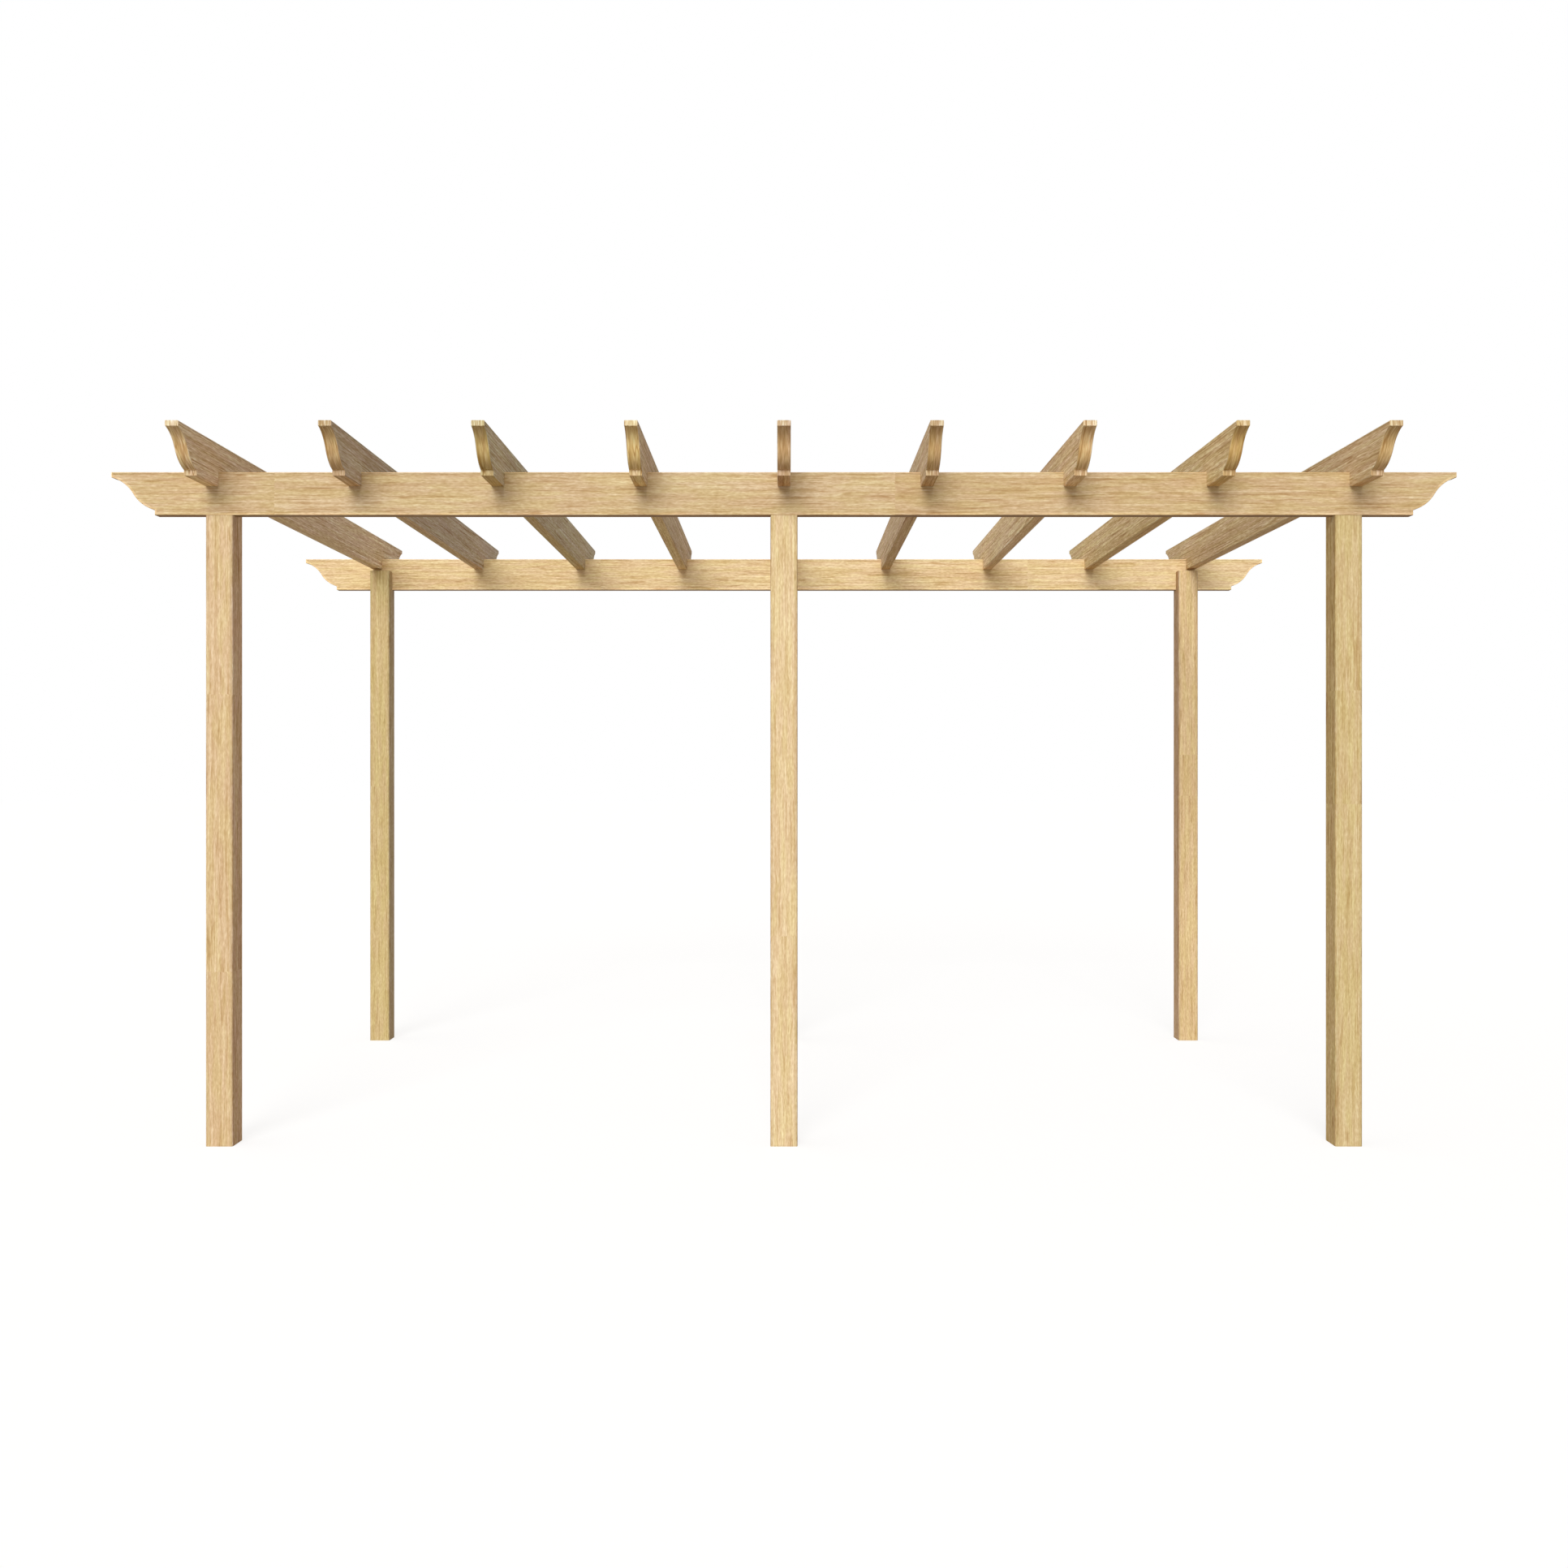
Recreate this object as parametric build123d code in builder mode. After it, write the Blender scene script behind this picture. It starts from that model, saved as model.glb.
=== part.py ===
"""A free-standing timber pergola: six posts, two long beams and nine cross rafters.

Planed softwood. The beams sit in rebates cut in the outer faces of the posts, the rafters are
notched over the beams, and every beam and rafter end is cut to the same ogee.
"""

import os

from build123d import *

os.makedirs("parts", exist_ok=True)

# Driving dimensions, in millimetres. The origin is on the ground in the middle of the plan,
# +X runs along the beams, +Y from the front row of posts to the back row, +Z up.
overall_height = 2458
width_over_posts = 4045
depth_over_posts = 2124

post_side = 95
post_edge_radius = 4

beam_thickness = 45
beam_height = 150
beam_overhang = 330

rafter_thickness = 45
rafter_height = 150
rafter_overhang = 338
rafter_count = 9

# The chamfer on both outlines of every board, which runs round the ogees too.
board_edge_chamfer = 2.5

# The ogee at each board end: a square lip at the top, a hollow that runs into a bulge of the
# same radius, and a square lip at the bottom.
ogee_length = 152
ogee_upper_lip = 18
ogee_lower_lip = 18
ogee_sagitta = 9.5

# The joints: how deep the rafters drop over the beams, the play beside each beam in its notch,
# and how far the post heads stay below the undersides of the rafters.
notch_depth = 50
notch_play = 0.5
post_head_gap = 13

# Levels and places that follow from them.
rafter_underside = overall_height - rafter_height
beam_top = rafter_underside + notch_depth
beam_underside = beam_top - beam_height
post_top = rafter_underside - post_head_gap
post_x = (width_over_posts - post_side) / 2
post_y = (depth_over_posts - post_side) / 2
beam_y = (depth_over_posts - beam_thickness) / 2
beam_length = width_over_posts + 2 * beam_overhang
rafter_length = depth_over_posts + 2 * rafter_overhang
rafter_spacing = (width_over_posts - rafter_thickness) / (rafter_count - 1)


def post(x, y):
    """A square post whose head is cut away on its outer side to carry a beam."""
    outward = 1 if y > 0 else -1
    with BuildPart() as piece:
        with BuildSketch():
            with Locations((x, y)):
                RectangleRounded(post_side, post_side, post_edge_radius)
        extrude(amount=post_top)
        with BuildSketch(Plane.XY.offset(beam_underside)):
            with Locations((x, outward * beam_y)):
                Rectangle(post_side, beam_thickness)
        extrude(amount=post_top - beam_underside, mode=Mode.SUBTRACT)
    return piece


def shaped_board(side_plane, length, height, thickness):
    """A board drawn on its middle plane, with an ogee at each end and both outlines chamfered."""
    end = length / 2
    top = height / 2
    curve_top = top - ogee_upper_lip
    curve_foot = ogee_lower_lip - top
    with BuildPart() as piece:
        with BuildSketch(side_plane):
            with BuildLine():
                upper_edge = Line((0, top), (end, top))
                upper_lip = Line(upper_edge @ 1, (end, curve_top))
                middle = (end - ogee_length / 2, (curve_top + curve_foot) / 2)
                hollow = SagittaArc(upper_lip @ 1, middle, -ogee_sagitta)
                bulge = SagittaArc(hollow @ 1, (end - ogee_length, curve_foot), ogee_sagitta)
                lower_lip = Line(bulge @ 1, (end - ogee_length, -top))
                Line(lower_lip @ 1, (0, -top))
                mirror(about=Plane.YZ)
            make_face()
        extrude(amount=thickness / 2, both=True)
        sides = piece.faces().filter_by(Axis(side_plane.origin, side_plane.z_dir))
        chamfer(sides.edges(), length=board_edge_chamfer)
    return piece


def beam(y):
    """A long beam that lies in the rebates of one row of posts, flush with their outer faces."""
    middle = Plane((0, y, beam_top - beam_height / 2), x_dir=(1, 0, 0), z_dir=(0, -1, 0))
    return shaped_board(middle, beam_length, beam_height, beam_thickness)


def rafter(x):
    """A cross rafter with a notch in its underside over each beam."""
    middle = Plane((x, 0, overall_height - rafter_height / 2), x_dir=(0, 1, 0), z_dir=(1, 0, 0))
    board = shaped_board(middle, rafter_length, rafter_height, rafter_thickness)
    with BuildPart() as piece:
        add(board.part)
        with BuildSketch(Plane.YZ.offset(x)):
            with Locations((-beam_y, beam_top), (beam_y, beam_top)):
                notch_width = beam_thickness + 2 * notch_play
                Rectangle(notch_width, notch_depth, align=(Align.CENTER, Align.MAX))
        extrude(amount=rafter_thickness / 2, both=True, mode=Mode.SUBTRACT)
    return piece


def save(piece, name):
    """Label one finished piece and write it to its own file."""
    piece.part.label = name
    export_step(piece.part, f"parts/{name}.step")


for row, y in (("front", -post_y), ("back", post_y)):
    for place, x in (("left", -post_x), ("middle", 0), ("right", post_x)):
        save(post(x, y), f"{row}_{place}_post")

for row, y in (("front", -beam_y), ("back", beam_y)):
    save(beam(y), f"{row}_beam")

first_rafter_x = -rafter_spacing * (rafter_count - 1) / 2
for number in range(rafter_count):
    save(rafter(first_rafter_x + number * rafter_spacing), f"rafter_{number + 1}")
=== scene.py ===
import math

import bpy
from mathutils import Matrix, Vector


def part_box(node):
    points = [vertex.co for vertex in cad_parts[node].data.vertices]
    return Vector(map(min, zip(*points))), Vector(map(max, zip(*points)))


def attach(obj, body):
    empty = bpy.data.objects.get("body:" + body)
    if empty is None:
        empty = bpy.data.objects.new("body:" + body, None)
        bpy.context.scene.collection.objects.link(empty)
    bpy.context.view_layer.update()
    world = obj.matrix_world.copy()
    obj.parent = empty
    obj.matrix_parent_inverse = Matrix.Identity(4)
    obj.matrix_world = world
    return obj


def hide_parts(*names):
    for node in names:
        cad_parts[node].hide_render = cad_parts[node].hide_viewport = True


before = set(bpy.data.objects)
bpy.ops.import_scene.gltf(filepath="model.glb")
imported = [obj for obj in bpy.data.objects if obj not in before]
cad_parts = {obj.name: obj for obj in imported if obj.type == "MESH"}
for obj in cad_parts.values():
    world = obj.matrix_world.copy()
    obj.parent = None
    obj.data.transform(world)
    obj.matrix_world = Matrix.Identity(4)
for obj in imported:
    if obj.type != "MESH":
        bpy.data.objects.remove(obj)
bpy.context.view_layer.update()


# Posts. Each is one square stick of planed softwood, about 95 mm thick, with rounded corners.
# Its head is cut back to a tongue on the inner side, and the beam sits on the shoulder that is
# left. The timber recipe below is shared by every stick and board of the frame.
def add_node(tree, kind, inputs=None, **settings):
    """Add a shader node, set its settings, then set or link its inputs."""
    node = tree.nodes.new(kind)
    for name, value in settings.items():
        setattr(node, name, value)
    for name, value in (inputs or {}).items():
        if isinstance(value, bpy.types.NodeSocket):
            tree.links.new(value, node.inputs[name])
        else:
            node.inputs[name].default_value = value
    return node


def math_node(tree, operation, first, second=0.0, third=0.0):
    """The result of one sum on sockets or plain numbers."""
    node = add_node(tree, "ShaderNodeMath", {0: first, 1: second, 2: third}, operation=operation)
    return node.outputs[0]


def vector_node(tree, operation, first, second):
    """The result of one sum on vectors."""
    node = add_node(tree, "ShaderNodeVectorMath", {0: first, 1: second}, operation=operation)
    return node.outputs[0]


def blend_colours(tree, share, first, second, kind="MIX"):
    """Two colours mixed by a share from 0 to 1."""
    node = add_node(tree, "ShaderNodeMix", {0: share, 6: first, 7: second}, data_type="RGBA",
                    blend_type=kind)
    return node.outputs[2]


def stretched_noise(tree, position, seed, per_metre, detail=2.0, roughness=0.5):
    """Noise from 0 to 1, with so many grains per metre along, across and through the wood."""
    return add_node(tree, "ShaderNodeTexNoise",
                    {"Vector": vector_node(tree, "MULTIPLY", position, per_metre), "W": seed,
                     "Scale": 1.0, "Detail": detail, "Roughness": roughness},
                    noise_dimensions="4D").outputs


def between(tree, value, low, high):
    """0 below one limit, 1 above the other, and smooth between them."""
    node = add_node(tree, "ShaderNodeMapRange", {"Value": value, "From Min": low, "From Max": high},
                    interpolation_type="SMOOTHSTEP")
    return node.outputs["Result"]


def moved(tree, position, noise, reach):
    """A position pushed about by noise, by at most half the reach each way."""
    push = vector_node(tree, "SUBTRACT", noise["Color"], (0.5, 0.5, 0.5))
    return vector_node(tree, "ADD", position, vector_node(tree, "MULTIPLY", push, reach))


def weighted_sum(tree, terms):
    """The sum of values, each less its own middle and times its own weight."""
    total = 0.0
    for value, middle, weight in terms:
        offset = math_node(tree, "SUBTRACT", value, middle)
        total = math_node(tree, "MULTIPLY_ADD", offset, weight, total)
    return total


# How much of the grain's light and dark falls on red, green and blue. Dark streaks turn browner.
streak_shares = (0.66, 1.0, 1.45)


def make_grain_group():
    """Softwood grain: X runs along the wood, Y across its face and Z through its thickness."""
    group = bpy.data.node_groups.new("Softwood grain", "ShaderNodeTree")
    inputs = (("Position", "NodeSocketVector"), ("Board", "NodeSocketFloat"),
              ("Wood", "NodeSocketColor"), ("End Grain", "NodeSocketFloat"),
              ("Edge Wear And Shade", "NodeSocketFloat"), ("Contrast", "NodeSocketFloat"),
              ("Drawn Out", "NodeSocketFloat"),
              ("First Joint", "NodeSocketFloat"), ("Second Joint", "NodeSocketFloat"))
    for name, kind in inputs:
        group.interface.new_socket(name, in_out="INPUT", socket_type=kind)
    for name, kind in (("Color", "NodeSocketColor"), ("Roughness", "NodeSocketFloat"),
                       ("Height", "NodeSocketFloat")):
        group.interface.new_socket(name, in_out="OUTPUT", socket_type=kind)
    given = group.nodes.new("NodeGroupInput").outputs
    result = group.nodes.new("NodeGroupOutput").inputs

    # Finger joints: past each one the stick goes on in another piece of the same wood.
    parts = add_node(group, "ShaderNodeSeparateXYZ", {0: given["Position"]}).outputs
    teeth = math_node(group, "MULTIPLY", math_node(group, "PINGPONG", parts["Y"], 0.005), 0.7)
    reach = math_node(group, "ADD", parts["X"], teeth)
    past_first = math_node(group, "GREATER_THAN", reach, given["First Joint"])
    past_second = math_node(group, "GREATER_THAN", reach, given["Second Joint"])
    seed = math_node(group, "MULTIPLY_ADD", math_node(group, "ADD", past_first, past_second), 3.7,
                     given["Board"])
    length_tone = add_node(group, "ShaderNodeTexWhiteNoise", {"W": seed},
                           noise_dimensions="1D").outputs["Value"]

    # The grain wanders slowly along the wood and ripples a little on the way. Across a sawn end
    # it shows as upright lines.
    upright = math_node(group, "MULTIPLY_ADD", given["End Grain"], -0.9, 1.0)
    drawn = add_node(group, "ShaderNodeCombineXYZ",
                     {0: math_node(group, "MULTIPLY", parts["X"], given["Drawn Out"]),
                      1: math_node(group, "MULTIPLY", parts["Y"], upright),
                      2: parts["Z"]}).outputs[0]
    slow = stretched_noise(group, drawn, seed, (1.1, 3.0, 3.0))
    wood = moved(group, drawn, slow, (0.0, 0.012, 0.012))
    ripple = stretched_noise(group, drawn, seed, (17.0, 30.0, 30.0), 1.0)
    wood = moved(group, wood, ripple, (0.0, 0.0015, 0.0015))

    # Broad bands, thin streaks, fibres and short flecks, and thin dark lines that come and go.
    bands = stretched_noise(group, wood, seed, (1.3, 20.0, 20.0), 1.0)["Fac"]
    streaks = stretched_noise(group, wood, seed, (1.5, 150.0, 150.0), 1.0)["Fac"]
    fibres = stretched_noise(group, wood, seed, (9.0, 190.0, 190.0), 2.0, 0.9)["Fac"]
    flecks = stretched_noise(group, wood, seed, (62.0, 250.0, 250.0), 1.0)["Fac"]
    lines = stretched_noise(group, wood, seed, (1.8, 60.0, 60.0), 1.0)["Fac"]
    thin_line = math_node(group, "ABSOLUTE", math_node(group, "SUBTRACT", lines, 0.5))
    line_share = math_node(group, "SUBTRACT", 1.0, between(group, thin_line, 0.0, 0.035))
    fades = stretched_noise(group, wood, seed, (9.0, 40.0, 40.0), 1.0)["Fac"]
    line_share = math_node(group, "MULTIPLY", line_share, between(group, fades, 0.43, 0.58))

    tone = weighted_sum(group, ((bands, 0.5, 0.15), (streaks, 0.5, 0.50), (fibres, 0.5, 0.85),
                                (flecks, 0.5, 0.72), (line_share, 0.12, -0.34),
                                (length_tone, 0.5, 0.09)))
    tone = math_node(group, "MULTIPLY", tone, given["Contrast"])

    # Marked edges are painted paler, partly wear and partly a painted highlight, here more and
    # there less. A mark below zero paints them darker instead, a painted shade.
    patches = stretched_noise(group, wood, seed, (5.0, 40.0, 40.0), 1.0)["Fac"]
    wear_and_shade_lift = math_node(group, "MULTIPLY_ADD", between(group, patches, 0.38, 0.58), 0.20, 0.10)
    wear_and_shade_lift = math_node(group, "MULTIPLY", given["Edge Wear And Shade"], wear_and_shade_lift)
    shades = [math_node(group, "EXPONENT", math_node(group, "MULTIPLY_ADD", tone, share, wear_and_shade_lift))
              for share in streak_shares]
    shade = add_node(group, "ShaderNodeCombineColor", dict(enumerate(shades))).outputs[0]
    colour = blend_colours(group, 1.0, given["Wood"], shade, "MULTIPLY")

    # It drifts between yellow and pink every few fingers.
    drift = stretched_noise(group, wood, seed, (6.0, 45.0, 45.0), 1.0)["Fac"]
    hue = blend_colours(group, between(group, drift, 0.36, 0.64),
                        (1.0, 1.003, 0.955, 1), (1.01, 0.98, 1.04, 1))
    colour = blend_colours(group, 1.0, colour, hue, "MULTIPLY")
    group.links.new(colour, result["Color"])

    group.links.new(math_node(group, "MULTIPLY_ADD", fibres, -0.3, 0.85), result["Roughness"])
    relief = weighted_sum(group, ((fibres, 0.5, 1.0), (streaks, 0.5, 0.5), (line_share, 0.0, -0.5)))
    group.links.new(relief, result["Height"])
    return group


softwood_grain = make_grain_group()
softwood = (0.70, 0.50, 0.265)

# How much of a change in lightness falls on red, green and blue.
lightness_shares = (0.65, 1.0, 1.29)

# What a square sawn end adds to the lightness, greyness and pinkness of the edges, in the lower
# and in the upper half of a piece, and how much more strongly it shows its grain.
lower_end_shift = (-0.30, 0.28, -0.05)
upper_end_shift = (0.02, 0.32, -0.05)
end_contrast = 0.7

# A finger joint this far from the middle is past every board's end, so there is none.
no_joint = 9.0


def wood_shade(lightness, greyness, pinkness):
    """The softwood colour, lighter or darker, more grey or more golden, pinker or greener."""
    grey = 0.25 * softwood[0] + 0.6 * softwood[1] + 0.15 * softwood[2]
    tilt = (pinkness / 2, -pinkness / 2, 0.0)
    return [(c + (grey - c) * greyness) * math.exp(lightness * share + push)
            for c, share, push in zip(softwood, lightness_shares, tilt)] + [1.0]


def shifted(shade, shift):
    """A shade with something added to its lightness, greyness and pinkness."""
    return [part + change for part, change in zip(shade, shift)]


def timber_finish(piece, axes, edge, face, board, contrast, joints=(no_joint, no_joint),
                  underside_shade=0.28, drawn_out=1.0, turn_over=0.6):
    """Give a piece its own softwood, with the grain running along it.

    Axes are the directions along, across and through the wood. Edge and face are the shades of its
    narrow and its wide sides, and contrast is how strongly the grain shows on each. The underside
    is painted darker than the edges by under, a painted shade. Sawn ends are greyer and show their
    grain more. The grain is longer where drawn_out is less, and a rounded edge takes the wide
    side's shade past turn_over.
    """
    material = bpy.data.materials.new(piece.name + "_timber")
    material.use_nodes = True
    tree = material.node_tree
    shader = tree.nodes["Principled BSDF"]
    low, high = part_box(piece.name.removesuffix("_wood"))
    coordinates = tree.nodes.new("ShaderNodeTexCoord")
    centred = add_node(tree, "ShaderNodeMapping",
                       {"Vector": coordinates.outputs["Object"], "Location": -(low + high) / 2})
    place = add_node(tree, "ShaderNodeSeparateXYZ", {0: centred.outputs[0]}).outputs
    along = add_node(tree, "ShaderNodeCombineXYZ", {i: place[axis] for i, axis in enumerate(axes)})
    facing = add_node(tree, "ShaderNodeSeparateXYZ", {0: coordinates.outputs["Normal"]}).outputs
    endward = math_node(tree, "ABSOLUTE", facing[axes[0]])
    end_grain = math_node(tree, "GREATER_THAN", endward, 0.3)
    sawn_end = between(tree, endward, 0.95, 0.99)
    faceward = math_node(tree, "ABSOLUTE", facing[axes[2]])
    wide_face = between(tree, faceward, turn_over, turn_over + 0.3)
    underside = between(tree, facing["Z"], -0.65, -0.97)
    upper_end = math_node(tree, "GREATER_THAN", place["Z"], 0.0)
    # The underside's colour is painted darker than the edges, a painted shade, and a little greyer
    # and less pink.
    shaded_underside = shifted(edge, (-underside_shade, 0.2 * underside_shade, -0.1 * underside_shade))
    wood = blend_colours(tree, underside, wood_shade(*edge), wood_shade(*shaded_underside))
    wood = blend_colours(tree, wide_face, wood, wood_shade(*face))
    sawn = blend_colours(tree, upper_end, wood_shade(*shifted(edge, lower_end_shift)),
                         wood_shade(*shifted(edge, upper_end_shift)))
    wood = blend_colours(tree, sawn_end, wood, sawn)
    edge_contrast, face_contrast = contrast
    strength = math_node(tree, "MULTIPLY_ADD", wide_face, face_contrast - edge_contrast,
                         edge_contrast)
    strength = math_node(tree, "MULTIPLY_ADD", sawn_end, end_contrast, strength)
    # The edge mark: wear and painted highlight above zero, painted shade below zero.
    wear_and_shade = add_node(tree, "ShaderNodeAttribute", attribute_name="edge_wear_and_shade").outputs["Fac"]
    grain = add_node(tree, "ShaderNodeGroup",
                     {"Position": along.outputs[0], "Board": board, "Wood": wood,
                      "End Grain": end_grain, "Edge Wear And Shade": wear_and_shade, "Contrast": strength,
                      "Drawn Out": drawn_out, "First Joint": joints[0], "Second Joint": joints[1]},
                     node_tree=softwood_grain)
    bump = add_node(tree, "ShaderNodeBump", {"Height": grain.outputs["Height"], "Strength": 0.5,
                                             "Distance": 0.0008})
    tree.links.new(grain.outputs["Color"], shader.inputs["Base Color"])
    tree.links.new(grain.outputs["Roughness"], shader.inputs["Roughness"])
    tree.links.new(bump.outputs["Normal"], shader.inputs["Normal"])
    shader.inputs["Specular IOR Level"].default_value = 0.12
    piece.data.materials.clear()
    piece.data.materials.append(material)


def select_where(piece, kind, test):
    """In edit mode, leave only the edges or faces selected that pass a test."""
    bpy.ops.object.mode_set(mode="EDIT")
    bpy.ops.mesh.select_mode(type=kind)
    bpy.ops.mesh.select_all(action="DESELECT")
    bpy.ops.object.mode_set(mode="OBJECT")
    mesh = piece.data
    if kind == "FACE":
        for face in mesh.polygons:
            face.select = test(face.center, face.normal)
    else:
        for edge in mesh.edges:
            edge.select = test(*(mesh.vertices[i].co for i in edge.vertices))
    bpy.ops.object.mode_set(mode="EDIT")


def mark_wear_and_shade(piece, edge_mark):
    """Give each selected face its edge mark, worked out from its centre and its normal."""
    # Above zero the mark paints a face paler, partly wear and partly a painted highlight; below
    # zero it is painted shade.
    bpy.ops.object.mode_set(mode="OBJECT")
    marks = piece.data.attributes
    wear_and_shade = marks.get("edge_wear_and_shade") or marks.new("edge_wear_and_shade", "FLOAT", "FACE")
    for face in piece.data.polygons:
        if face.select:
            wear_and_shade.data[face.index].value = edge_mark(face.center, face.normal)
    bpy.ops.object.mode_set(mode="EDIT")


def copy_to(pattern, node, turn=0.0):
    """Copy a stick that stands on the middle axis, turn the copy's mesh and move it to its node."""
    low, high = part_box(node)
    bpy.ops.object.select_all(action="DESELECT")
    pattern.select_set(True)
    bpy.context.view_layer.objects.active = pattern
    bpy.ops.object.duplicate()
    piece = bpy.context.object
    piece.name = node + "_wood"
    bpy.ops.object.mode_set(mode="EDIT")
    bpy.ops.mesh.select_all(action="SELECT")
    bpy.ops.transform.rotate(value=turn, orient_axis="Z", center_override=(0, 0, 0))
    bpy.ops.transform.translate(value=((low.x + high.x) / 2, (low.y + high.y) / 2, 0))
    bpy.ops.object.mode_set(mode="OBJECT")
    return piece


def finish_stick(piece, node):
    """Smooth the rounded edges, keep the flats flat, and stand the piece in for its node."""
    bpy.ops.object.shade_smooth_by_angle(angle=math.radians(35))
    flats = piece.modifiers.new("flats", "WEIGHTED_NORMAL")
    flats.weight = 100
    flats.keep_sharp = True
    bpy.ops.object.modifier_apply(modifier=flats.name)
    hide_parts(node)
    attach(piece, "root")


# Two places closer than this are the same place.
hair = 1e-5

# The posts' rounded corners, and a narrow margin beside them, are painted a little darker than the
# rest, a painted shade.
post_corner = 0.0065
corner_shade = -0.4
edge_margin = 0.005
margin_shade = -0.25
beam_low, beam_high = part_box("front_beam")
shoulder = beam_low.z
beam_thickness = beam_high.y - beam_low.y


def model_post():
    """A square stick on the middle axis, with its head cut back on its front side."""
    stick_low, stick_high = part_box("front_left_post")
    half_side = (stick_high.x - stick_low.x) / 2
    low = Vector((-half_side, -half_side, stick_low.z))
    high = Vector((half_side, half_side, stick_high.z))
    tongue_y = low.y + beam_thickness
    bpy.ops.object.select_all(action="DESELECT")
    lower_high = Vector((high.x, high.y, shoulder))
    bpy.ops.mesh.primitive_cube_add(size=1, location=(low + lower_high) / 2, scale=lower_high - low)
    post = bpy.context.object
    bpy.ops.object.transform_apply(location=True, rotation=True, scale=True)
    bpy.ops.object.mode_set(mode="EDIT")
    bpy.ops.mesh.select_all(action="SELECT")
    bpy.ops.mesh.bisect(plane_co=(0, tongue_y, 0), plane_no=(0, 1, 0))
    select_where(post, "FACE", lambda centre, normal: normal.z > 0.9 and centre.y > tongue_y)
    bpy.ops.mesh.extrude_region_move(TRANSFORM_OT_translate={"value": (0, 0, high.z - shoulder)})
    bpy.ops.mesh.select_all(action="SELECT")
    bpy.ops.mesh.dissolve_limited(angle_limit=math.radians(1))

    def on_corner(start, end):
        at_side = all(min(abs(v.x - low.x), abs(v.x - high.x)) < hair for v in (start, end))
        at_face = all(min(abs(v.y - low.y), abs(v.y - high.y)) < hair for v in (start, end))
        return at_side and at_face and abs(start.z - end.z) > hair

    select_where(post, "EDGE", on_corner)
    bpy.ops.mesh.bevel(offset=post_corner, segments=4, affect="EDGES")
    # The rounded corners are painted darker, a painted shade.
    mark_wear_and_shade(post, lambda centre, normal: corner_shade)
    select_where(post, "FACE", lambda centre, normal: abs(normal.y) > 0.99)
    bpy.ops.mesh.inset(thickness=edge_margin, use_select_inset=True)
    # The margin beside them on the front and back is painted a little darker, a painted shade.
    mark_wear_and_shade(post, lambda centre, normal: margin_shade)
    bpy.ops.object.mode_set(mode="OBJECT")
    return post


# The shade of each post's sides and of its front and back, as lightness, greyness and pinkness,
# the places of its finger joints from its middle, and a number that makes its grain its own.
post_woods = {
    "front_left_post": ((-0.04, 0.06, 0.06), (0.04, 0.01, 0.0), (-0.535, 0.435), 1.0),
    "front_middle_post": ((-0.1, 0.0, 0.0), (0.14, -0.02, -0.01), (-0.41, no_joint), 2.0),
    "front_right_post": ((-0.31, -0.1, -0.11), (-0.05, -0.03, -0.09), (0.052, 0.449), 3.0),
    "back_left_post": ((-0.24, 0.18, -0.08), (0.08, -0.08, -0.08), (0.097, no_joint), 4.0),
    "back_middle_post": ((-0.2, 0.1, 0.0), (0.08, -0.06, 0.0), (0.30, no_joint), 5.0),
    "back_right_post": ((-0.39, 0.13, 0.02), (0.12, -0.09, 0.0), (0.05, 0.25), 6.0),
}
plain_post = model_post()
for node, (side, face, joints, board_number) in post_woods.items():
    post = copy_to(plain_post, node, turn=math.pi if node.startswith("back") else 0.0)
    finish_stick(post, node)
    timber_finish(post, "ZXY", side, face, board_number, contrast=(1.65, 0.97),
                  joints=joints)
bpy.data.objects.remove(plain_post)


# Beams. Two long boards on edge, 45 mm by 150 mm, one in the rebates of each row of posts.
# Both ends are sawn to an ogee between two square lips, and the whole outline is eased.
ogee_run = 0.152
ogee_lip = 0.018
ogee_sagitta = 0.0095
ogee_steps = 14
board_easing = 0.003


def draw_half_outline(half_length, top, bottom, notch=None):
    """Draw the right half of a board's outline, in the plane of X and Z, from its top middle."""
    bpy.ops.object.select_all(action="DESELECT")
    bpy.ops.mesh.primitive_plane_add(size=0.01)
    board = bpy.context.object
    bpy.ops.object.mode_set(mode="EDIT")
    bpy.ops.mesh.select_mode(type="VERT")
    bpy.ops.mesh.select_all(action="SELECT")
    bpy.ops.mesh.merge(type="CENTER")
    bpy.ops.transform.translate(value=(0, 0, top))

    def line(x, z):
        bpy.ops.mesh.extrude_vertices_move(TRANSFORM_OT_translate={"value": (x, 0, z)})

    drop = (top - bottom - 2 * ogee_lip) / 2
    half_chord = Vector((-ogee_run / 4, 0, -drop / 2))
    chord = 2 * half_chord.length
    radius = (chord ** 2 / 4 + ogee_sagitta ** 2) / (2 * ogee_sagitta)
    sweep = 2 * math.asin(chord / 2 / radius)
    outward = Vector((-half_chord.z, 0, half_chord.x)).normalized()
    reach = radius - ogee_sagitta

    line(half_length, 0)
    line(0, -ogee_lip)
    start = Vector((half_length, 0, top - ogee_lip))
    hollow_centre = start + half_chord + outward * reach
    bpy.ops.mesh.spin(steps=ogee_steps, angle=sweep, center=hollow_centre, axis=(0, 1, 0))
    middle = start + 2 * half_chord
    bulge_centre = middle + half_chord - outward * reach
    bpy.ops.mesh.spin(steps=ogee_steps, angle=-sweep, center=bulge_centre, axis=(0, 1, 0))
    line(0, -ogee_lip)
    foot = half_length - ogee_run
    if notch:
        inner, outer, depth = notch
        line(outer - foot, 0)
        line(0, depth)
        line(inner - outer, 0)
        line(0, -depth)
        foot = inner
    line(-foot, 0)
    return board


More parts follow.
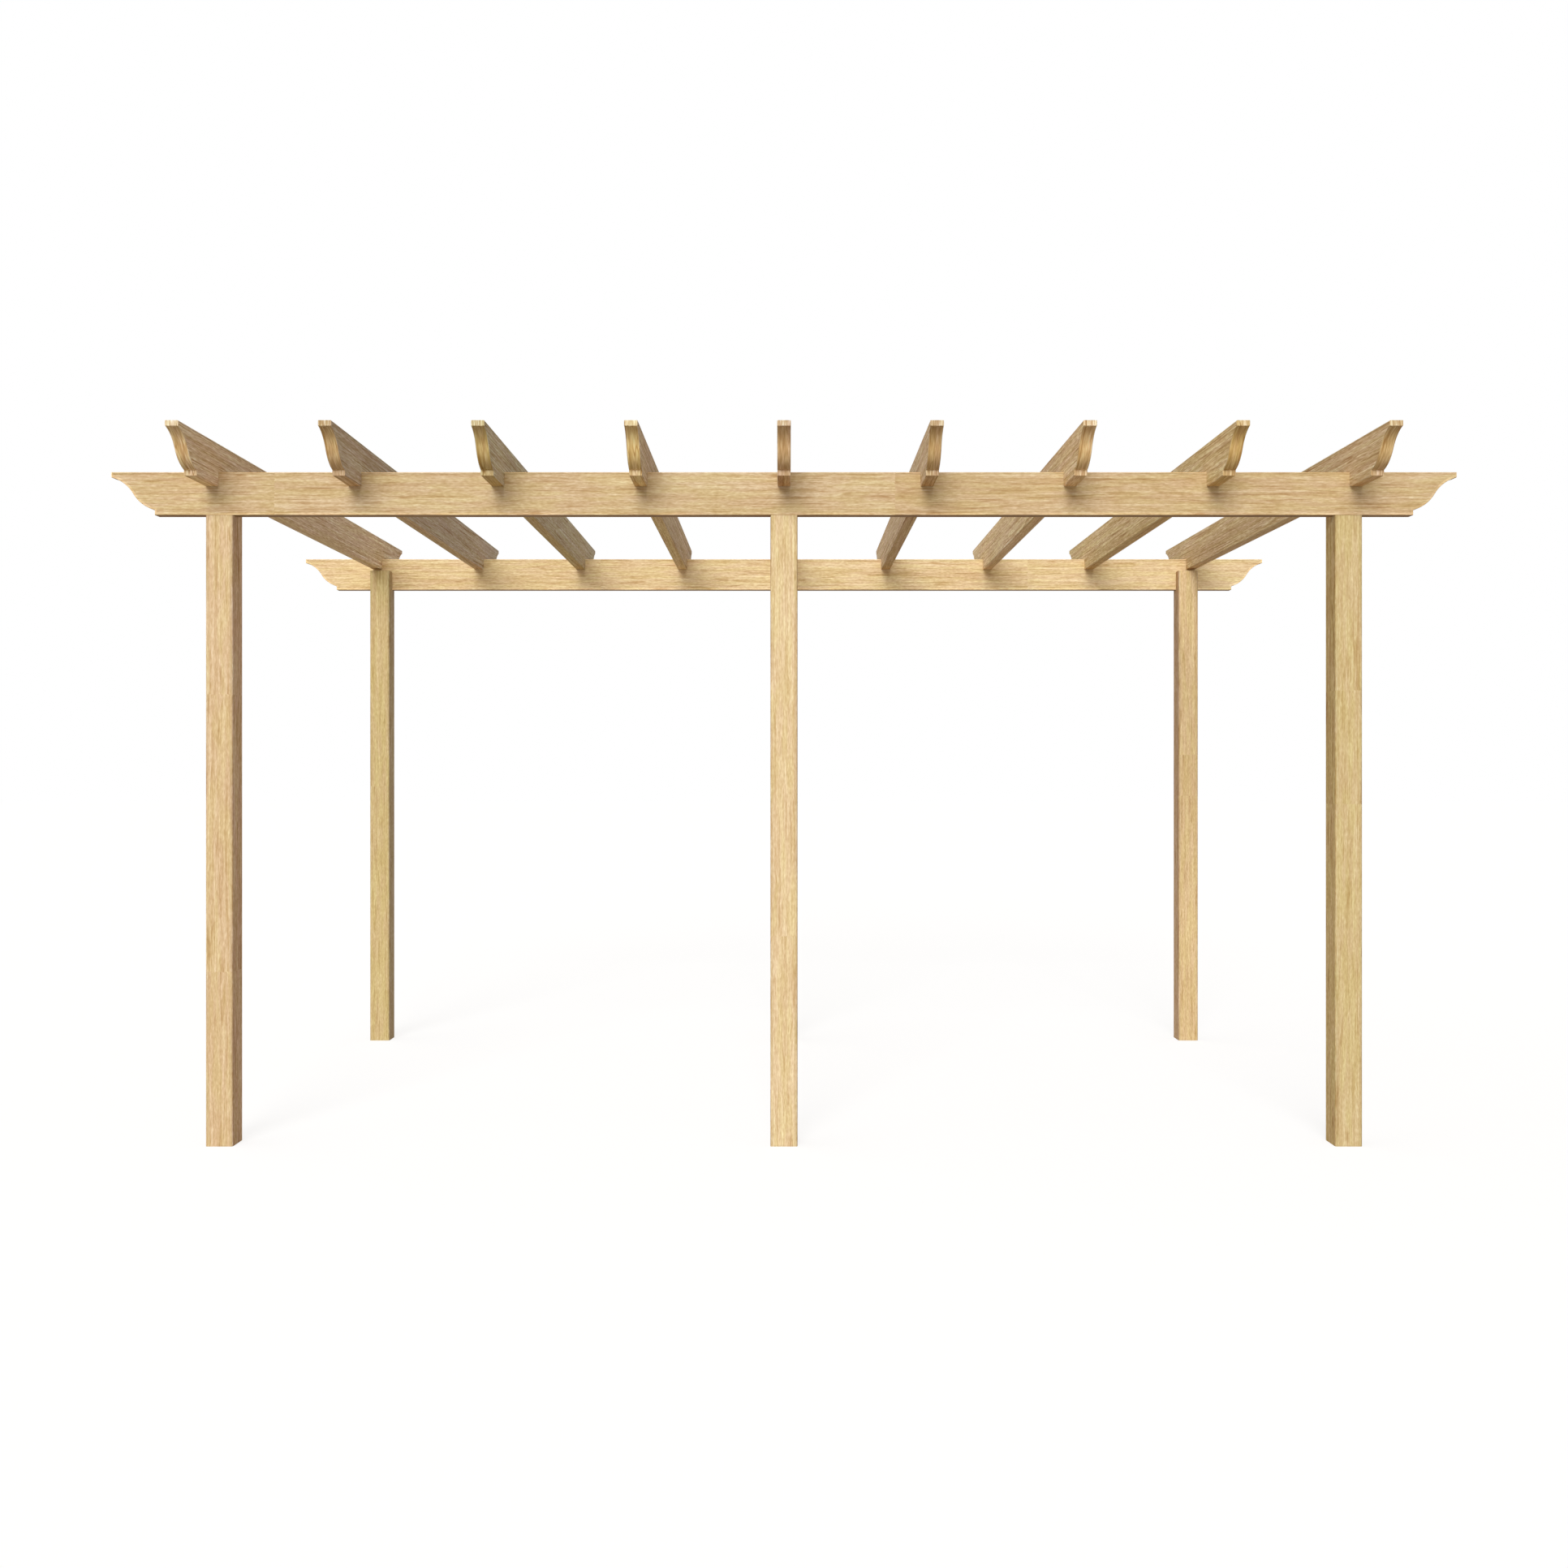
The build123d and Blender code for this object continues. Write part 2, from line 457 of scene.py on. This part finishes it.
def model_board(half_length, top, bottom, thickness, top_shade, side_wear_and_highlight, notch=None):
    """Mirror the half outline, fill it, give it its thickness and ease its edges."""
    board = draw_half_outline(half_length, top, bottom, notch)
    bpy.ops.mesh.select_all(action="SELECT")
    bpy.ops.mesh.duplicate()
    bpy.ops.transform.resize(value=(-1, 1, 1), center_override=(0, 0, 0))
    bpy.ops.mesh.select_all(action="SELECT")
    bpy.ops.mesh.remove_doubles(threshold=hair)
    bpy.ops.mesh.edge_face_add()
    bpy.ops.transform.translate(value=(0, -thickness / 2, 0))
    bpy.ops.mesh.extrude_region_move(TRANSFORM_OT_translate={"value": (0, thickness, 0)})
    bpy.ops.mesh.select_all(action="SELECT")
    bpy.ops.mesh.normals_make_consistent(inside=False)

    def on_outline(start, end):
        if abs(start.y - end.y) > hair:
            return False
        if notch is None:
            return True
        inner, outer, depth = notch
        middle = (start + end) / 2
        within = inner - hair < abs(middle.x) < outer + hair
        return not (within and middle.z < bottom + depth + hair)

    # The eased edges are marked most, and a narrow margin beside them half as much. On the sides
    # the mark paints them paler, partly wear and partly a painted highlight. Along the top it is
    # given apart and paints them darker, a painted shade.
    select_where(board, "EDGE", on_outline)
    bpy.ops.mesh.bevel(offset=board_easing, segments=3, affect="EDGES")

    def easing_wear_and_shade(centre, normal):
        if abs(normal.y) > 0.99:
            return 0.0
        return top_shade if normal.z > 0.3 else 2 * side_wear_and_highlight

    mark_wear_and_shade(board, easing_wear_and_shade)
    select_where(board, "FACE", lambda centre, normal: abs(normal.y) > 0.99)
    bpy.ops.mesh.inset(thickness=edge_margin, use_select_inset=True)

    def margin_wear_and_shade_at(centre, normal):
        return top_shade / 2 if centre.z > top - ogee_lip / 2 else side_wear_and_highlight

    mark_wear_and_shade(board, margin_wear_and_shade_at)
    bpy.ops.object.mode_set(mode="OBJECT")
    return board


# The shade of each beam's edges and of its faces, its joints and its number.
beam_woods = {
    "front_beam": ((0.0, -0.1, 0.0), (-0.04, 0.04, -0.03), (-1.78, 0.39), 11.0),
    "back_beam": ((0.1, -0.1, 0.0), (0.21, -0.05, 0.0), (-0.9, 1.2), 12.0),
}
# The beam's top edges are painted darker, a painted shade; its side edges are painted paler, partly
# wear and partly a painted highlight.
plain_beam = model_board(beam_high.x, beam_high.z, beam_low.z, beam_thickness,
                         top_shade=-1.2, side_wear_and_highlight=0.65)
for node, (edge, face, joints, board_number) in beam_woods.items():
    beam = copy_to(plain_beam, node)
    finish_stick(beam, node)
    # The beam's underside is painted much darker than the rafters', a painted shade.
    timber_finish(beam, "XZY", edge, face, board_number, contrast=(1.1, 1.1),
                  joints=joints, underside_shade=1.0)
bpy.data.objects.remove(plain_beam)


# Rafters. Nine boards on edge that cross the beams at even spacing, with the same ogee ends.
# Each drops over both beams in notches a third of its depth.
notch_play = 0.0005
rafter_low, rafter_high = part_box("rafter_1")
notch_inner = min(abs(beam_low.y), abs(beam_high.y)) - notch_play
notch_outer = max(abs(beam_low.y), abs(beam_high.y)) + notch_play
notch_depth = beam_high.z - rafter_low.z

# For each rafter from left to right: the shade of its edges, then of its faces.
rafter_woods = [
    ((0.38, -0.18, 0.06), (0.22, 0.1, 0.05)),
    ((0.05, -0.15, 0.02), (-0.23, 0.38, -0.03)),
    ((-0.07, -0.25, -0.08), (-0.19, 0.33, -0.10)),
    ((0.28, -0.29, 0.02), (-0.2, 0.2, -0.03)),
    ((-0.01, -0.13, 0.07), (-0.1, 0.2, 0.0)),
    ((-0.12, -0.19, 0.02), (-0.25, 0.18, -0.03)),
    ((0.27, -0.23, 0.08), (0.08, 0.03, 0.0)),
    ((0.03, -0.34, 0.01), (-0.01, -0.02, -0.05)),
    ((0.09, -0.19, 0.05), (-0.08, 0.06, -0.03)),
]
rafter_thickness = rafter_high.x - rafter_low.x
# The rafters' top edges are painted darker, a painted shade; their side edges a little paler,
# partly wear and partly a painted highlight.
plain_rafter = model_board(rafter_high.y, rafter_high.z, rafter_low.z, rafter_thickness,
                           top_shade=-1.6, side_wear_and_highlight=0.12,
                           notch=(notch_inner, notch_outer, notch_depth))
for number, (edge, face) in enumerate(rafter_woods):
    node = f"rafter_{number + 1}"
    rafter = copy_to(plain_rafter, node, turn=math.pi / 2)
    finish_stick(rafter, node)
    timber_finish(rafter, "YZX", edge, face, 20.0 + number, contrast=(1.5, 1.85),
                  drawn_out=0.4, turn_over=0.15)
bpy.data.objects.remove(plain_rafter)


# Floor. A plain pale ground that runs past the view. It glows just enough to be seen as near
# white, and still shows the soft shadow of the frame.
floor_seen = (0.28, 0.28, 0.28, 1)
floor_bounced = (0.42, 0.42, 0.42, 1)
floor_glow = 0.79

bpy.ops.object.select_all(action="DESELECT")
bpy.ops.mesh.primitive_plane_add(size=120)
floor = bpy.context.object
floor.name = "floor"
floor_material = bpy.data.materials.new("pale_floor")
floor_material.use_nodes = True
tree = floor_material.node_tree
tree.nodes.remove(tree.nodes["Principled BSDF"])
seen = tree.nodes.new("ShaderNodeLightPath").outputs
colour = blend_colours(tree, seen["Is Camera Ray"], floor_bounced, floor_seen)
matt = add_node(tree, "ShaderNodeBsdfDiffuse", {"Color": colour})
direct = math_node(tree, "MAXIMUM", seen["Is Camera Ray"], seen["Is Glossy Ray"])
strength = math_node(tree, "MULTIPLY", direct, floor_glow)
glow = add_node(tree, "ShaderNodeEmission", {"Color": (1, 1, 1, 1), "Strength": strength})
both = add_node(tree, "ShaderNodeAddShader", {0: matt.outputs[0], 1: glow.outputs[0]})
tree.links.new(both.outputs[0], tree.nodes["Material Output"].inputs["Surface"])
floor.data.materials.append(floor_material)


# Light. One broad soft lamp from the front, a little to the left and above, a weaker and broader
# one from the left, and an even pale surround that fills the shaded sides and is seen as white.
key_direction = Vector((0.151, 1.0, -0.457))
side_direction = Vector((1.0, 0.0, -0.2))

bpy.ops.object.light_add(type="SUN", location=(-3, -8, 5))
key = bpy.context.object
key.name = "soft_key"
key.rotation_euler = key_direction.to_track_quat("-Z", "Y").to_euler()
key.data.angle = 0.50
key.data.energy = 2.0

bpy.ops.object.light_add(type="SUN", location=(-8, -2, 4))
side_lamp = bpy.context.object
side_lamp.name = "soft_side"
side_lamp.rotation_euler = side_direction.to_track_quat("-Z", "Y").to_euler()
side_lamp.data.angle = 1.4
side_lamp.data.energy = 0.8

world = bpy.data.worlds.new("surround")
bpy.context.scene.world = world
world.use_nodes = True
tree = world.node_tree
fill = tree.nodes["Background"]
fill.inputs["Color"].default_value = (1.0, 0.94, 0.87, 1)
fill.inputs["Strength"].default_value = 0.47
white = add_node(tree, "ShaderNodeBackground", {"Color": (1, 1, 1, 1), "Strength": 1.0})
seen = tree.nodes.new("ShaderNodeLightPath")
direct = math_node(tree, "MAXIMUM", seen.outputs["Is Camera Ray"], seen.outputs["Is Glossy Ray"])
direct = math_node(tree, "MAXIMUM", direct, seen.outputs["Is Transmission Ray"])
choice = add_node(tree, "ShaderNodeMixShader", {0: direct, 1: fill.outputs[0], 2: white.outputs[0]})
tree.links.new(choice.outputs[0], tree.nodes["World Output"].inputs["Surface"])
bpy.context.scene.view_settings.view_transform = "Standard"


# Camera. Level and square to the front, 1.3 m above the ground and a little over five metres
# from the front posts, with the horizon just above the middle of the view.
photo_size = 1932
horizon_row = 952.9
focal_length_px = 1800.0
camera_distance = 5.107
camera_height = 1.3048
front_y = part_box("front_beam")[0].y
bpy.ops.object.camera_add(location=(0, front_y - camera_distance, camera_height),
                          rotation=(math.pi / 2, 0, 0))
camera = bpy.context.object
camera.data.sensor_width = 36.0
camera.data.lens = 36.0 * focal_length_px / photo_size
camera.data.shift_y = (horizon_row - photo_size / 2) / photo_size
bpy.context.scene.camera = camera
